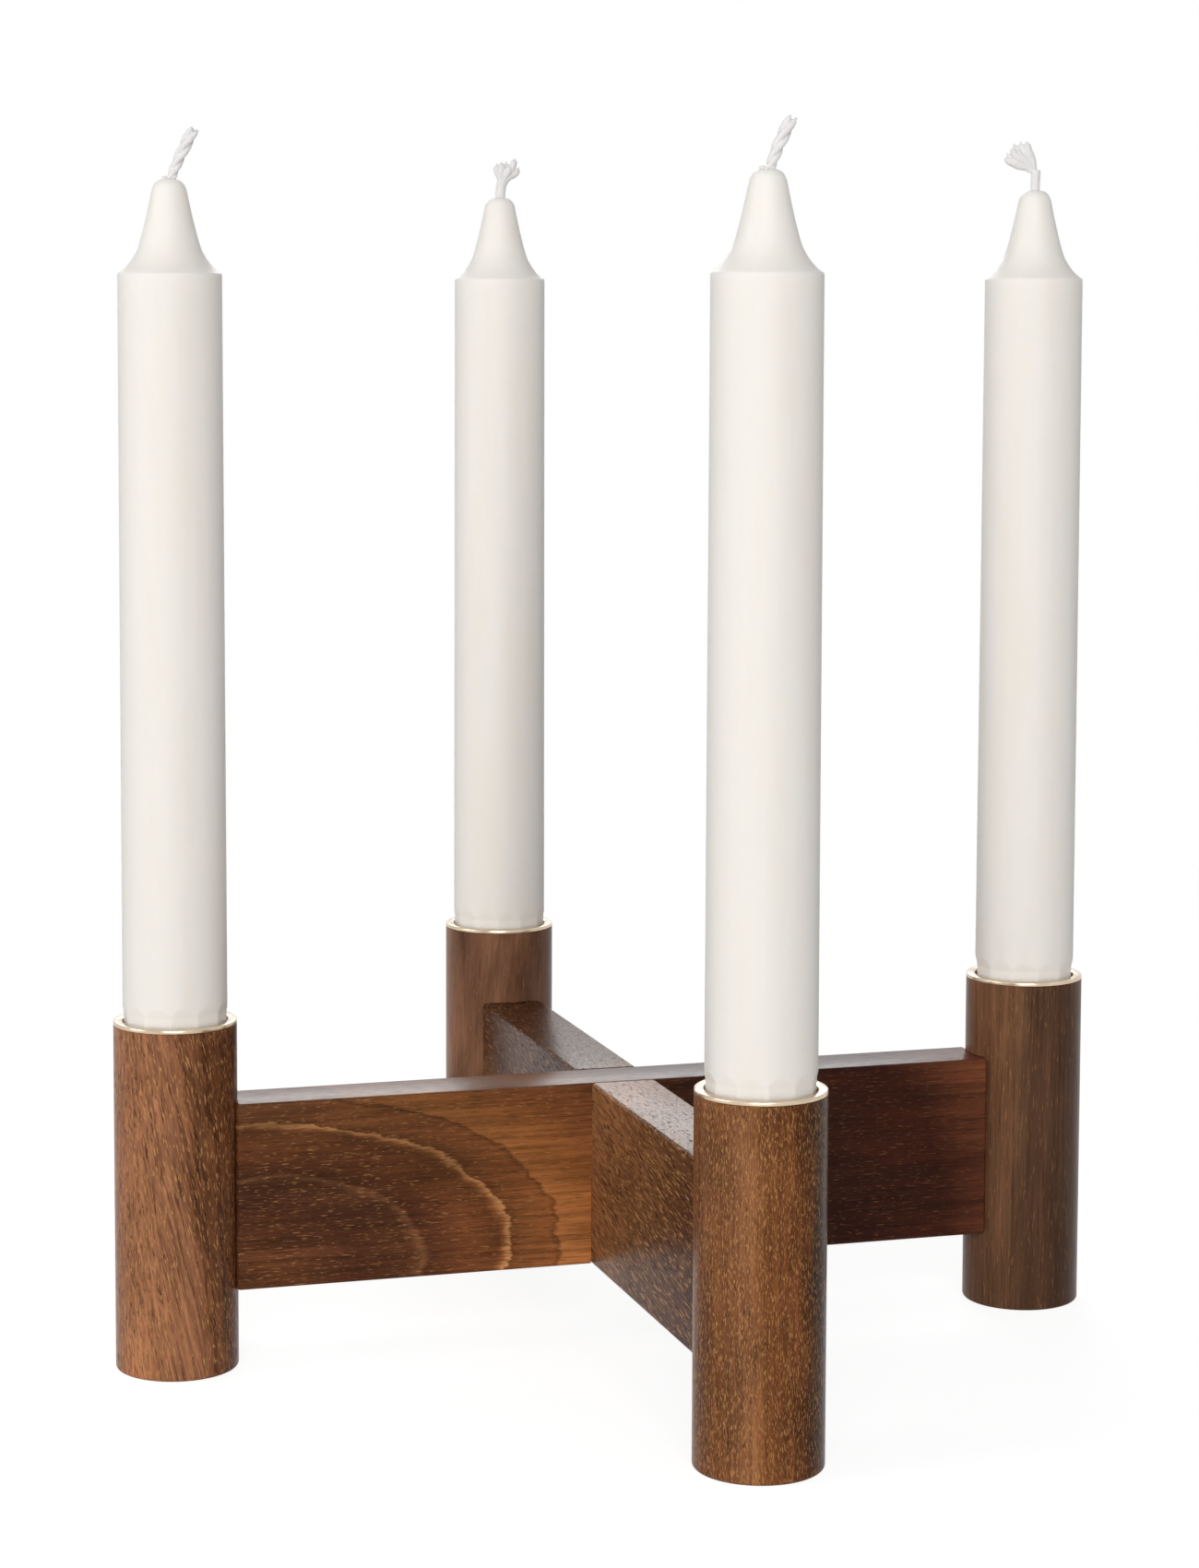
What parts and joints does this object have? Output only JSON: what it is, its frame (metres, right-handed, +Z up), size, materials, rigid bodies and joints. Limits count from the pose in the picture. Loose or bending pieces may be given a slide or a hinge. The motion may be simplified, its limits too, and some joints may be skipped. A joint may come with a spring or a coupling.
{
  "type": "advent candle holder",
  "caption": "Walnut advent candle holder: crossed rails carry round posts, each with a brass cup and a white dinner candle.",
  "frame": {"origin": "on the table, under the crossing of the two rails", "axes": "+X to the right along the side-to-side rail, +Y to the back along the front-to-back rail, +Z up"},
  "size_m": [0.22, 0.22, 0.2618],
  "materials": {
    "walnut": "oiled, satin",
    "brass": "polished",
    "candle_wax": "smooth, waxy",
    "wick_cotton": "braided cotton",
    "beech": "raw, grooved"
  },
  "bodies": {
    "stand": {"rail_side_to_side": "walnut", "rail_front_to_back": "walnut", "post_left": "walnut", "dowel_left_lower": "beech", "dowel_left_upper": "beech", "candle_cup_left": "brass", "post_right": "walnut", "dowel_right_lower": "beech", "dowel_right_upper": "beech", "candle_cup_right": "brass", "post_front": "walnut", "dowel_front_lower": "beech", "dowel_front_upper": "beech", "candle_cup_front": "brass", "post_back": "walnut", "dowel_back_lower": "beech", "dowel_back_upper": "beech", "candle_cup_back": "brass"},
    "left_candle": {"candle_left": "candle_wax", "wick_left": "wick_cotton"},
    "right_candle": {"candle_right": "candle_wax", "wick_right": "wick_cotton"},
    "front_candle": {"candle_front": "candle_wax", "wick_front": "wick_cotton"},
    "back_candle": {"candle_back": "candle_wax", "wick_back": "wick_cotton"}
  },
  "joints": [
    {"name": "left_candle_lift", "type": "slide", "parent": "stand", "child": "left_candle", "axis": [0, 0, 1], "range_m": [0, 0.04]},
    {"name": "right_candle_lift", "type": "slide", "parent": "stand", "child": "right_candle", "axis": [0, 0, 1], "range_m": [0, 0.04]},
    {"name": "front_candle_lift", "type": "slide", "parent": "stand", "child": "front_candle", "axis": [0, 0, 1], "range_m": [0, 0.04]},
    {"name": "back_candle_lift", "type": "slide", "parent": "stand", "child": "back_candle", "axis": [0, 0, 1], "range_m": [0, 0.04]}
  ]
}
